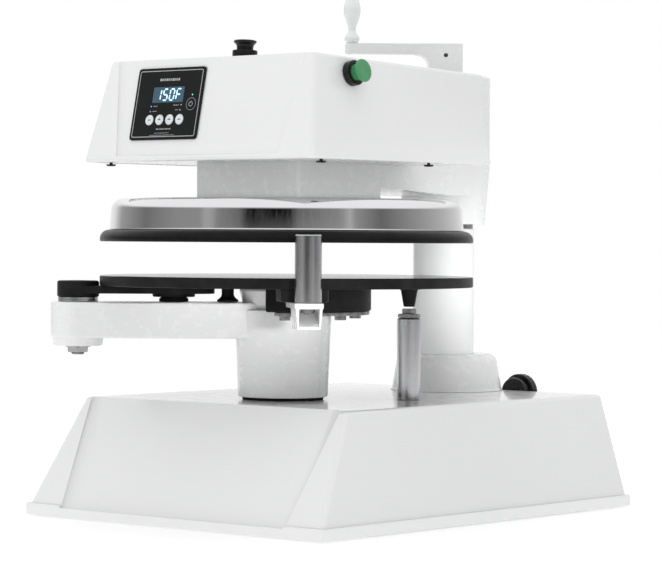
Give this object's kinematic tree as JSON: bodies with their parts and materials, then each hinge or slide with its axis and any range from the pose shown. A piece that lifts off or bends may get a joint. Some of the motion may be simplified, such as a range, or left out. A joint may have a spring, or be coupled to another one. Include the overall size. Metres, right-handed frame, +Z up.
{
  "type": "pizza dough press",
  "caption": "Air-operated hot press that flattens dough balls: white base and head, round lower platen that swings out, heated upper platen, column with a height crank",
  "frame": {"origin": "on the underside of the base, straight below the centre of the platens; the rubber feet reach 2 mm lower", "axes": "+X to the operator's right, +Y to the back, +Z up"},
  "size_m": [0.48, 0.6549, 0.6652],
  "materials": {
    "white_paint": "smooth glossy white powder coat",
    "black_coating": "fine-textured black coating",
    "upper_platen_coating": "smooth satin black non-stick coating",
    "polished_cover": "polished, mirror-like",
    "brushed_steel": "turned and brushed",
    "dark_steel": "dull plated steel",
    "plate_aluminium": "machined aluminium",
    "black_rubber": "matte moulded rubber",
    "black_plastic": "moulded black plastic, slight gloss",
    "green_plastic": "moulded green plastic, slight gloss",
    "key_rubber": "pale silicone rubber",
    "display_glass": "clear window over a lit display"
  },
  "bodies": {
    "base": {"base_housing": "white_paint", "column_collar": "white_paint", "column_tube": "white_paint", "support_arm": "white_paint", "support_post": "brushed_steel", "pivot_washer": "brushed_steel", "base_plate": "dark_steel", "inner_frame": "dark_steel", "column_shaft": "dark_steel", "boss_bolt": "dark_steel", "post_jam_nut": "dark_steel", "post_bolt": "dark_steel", "foot_front_left": "black_rubber", "foot_front_right": "black_rubber", "foot_rear_left": "black_rubber", "foot_rear_right": "black_rubber", "boss_gasket": "black_rubber", "bumper_outer": "black_rubber", "bumper_inner": "black_rubber", "air_regulator": "black_plastic", "cord_gland": "black_plastic"},
    "swing": {"lower_platen": "black_coating", "platen_bracket": "black_coating", "pivot_pin": "dark_steel", "pivot_nut": "brushed_steel", "stop_block": "black_coating", "stop_block_plate": "dark_steel", "stop_bolt_1": "dark_steel", "stop_bolt_2": "dark_steel", "stop_bolt_3": "dark_steel", "platen_foot": "black_rubber", "handle_bracket": "white_paint", "platen_handle": "brushed_steel", "handle_screw": "dark_steel"},
    "head": {"head_casting": "white_paint", "head_cover": "white_paint", "head_bottom_pan": "white_paint", "head_rear_panel": "white_paint", "pan_screw_1": "black_plastic", "pan_screw_2": "black_plastic", "pan_screw_3": "black_plastic", "pan_screw_4": "black_plastic", "air_cylinder": "plate_aluminium", "control_panel": "black_plastic", "display_window": "display_glass", "keypad": "key_rubber", "controller_box": "black_plastic", "side_button_collar": "black_plastic", "top_button_collar": "black_plastic"},
    "ram": {"upper_platen": "upper_platen_coating", "platen_cover": "polished_cover", "heater_disc": "plate_aluminium", "ram_rod": "brushed_steel", "guide_yoke": "brushed_steel"},
    "crank": {"crank_arm": "white_paint", "lead_screw": "brushed_steel"},
    "grip": {"crank_grip": "white_paint"},
    "green_start": {"side_button": "green_plastic"},
    "black_start": {"top_button": "black_plastic"},
    "knob": {"regulator_knob": "black_plastic"}
  },
  "joints": [
    {"name": "head_lift", "type": "slide", "parent": "base", "child": "head", "axis": [0, 0, 1], "range_m": [-0.004, 0.016]},
    {"name": "crank_turn", "type": "hinge", "parent": "head", "child": "crank", "pos_m": [0, 0.313, 0.588], "axis": [0, 0, 1], "range_deg": [-181, 721]},
    {"name": "crank_grip_spin", "type": "hinge", "parent": "crank", "child": "grip", "pos_m": [-0.08922, 0.2298, 0.62], "axis": [0, 0, 1], "continuous": true},
    {"name": "press_stroke", "type": "slide", "parent": "head", "child": "ram", "axis": [0, 0, -1], "range_m": [0, 0.036]},
    {"name": "platen_swing", "type": "hinge", "parent": "base", "child": "swing", "pos_m": [-0.18003, -0.18003, 0.27], "axis": [0, 0, 1], "range_deg": [-110, 0]},
    {"name": "side_button_push", "type": "slide", "parent": "head", "child": "green_start", "axis": [-0.9853, 0, -0.171], "range_m": [0, 0.004], "stiffness_N_per_m": 700, "springref_m": -0.001},
    {"name": "top_button_push", "type": "slide", "parent": "head", "child": "black_start", "axis": [0, -0.0382, -0.9993], "range_m": [0, 0.004], "stiffness_N_per_m": 700, "springref_m": -0.001},
    {"name": "regulator_knob_turn", "type": "hinge", "parent": "base", "child": "knob", "pos_m": [0.049, 0.4123, 0.1375], "axis": [0, 1, 0], "range_deg": [-150, 150]}
  ],
  "couplings": [
    {"joint": "crank_turn", "follows": "head_lift", "rad_per_m": 785.4}
  ]
}
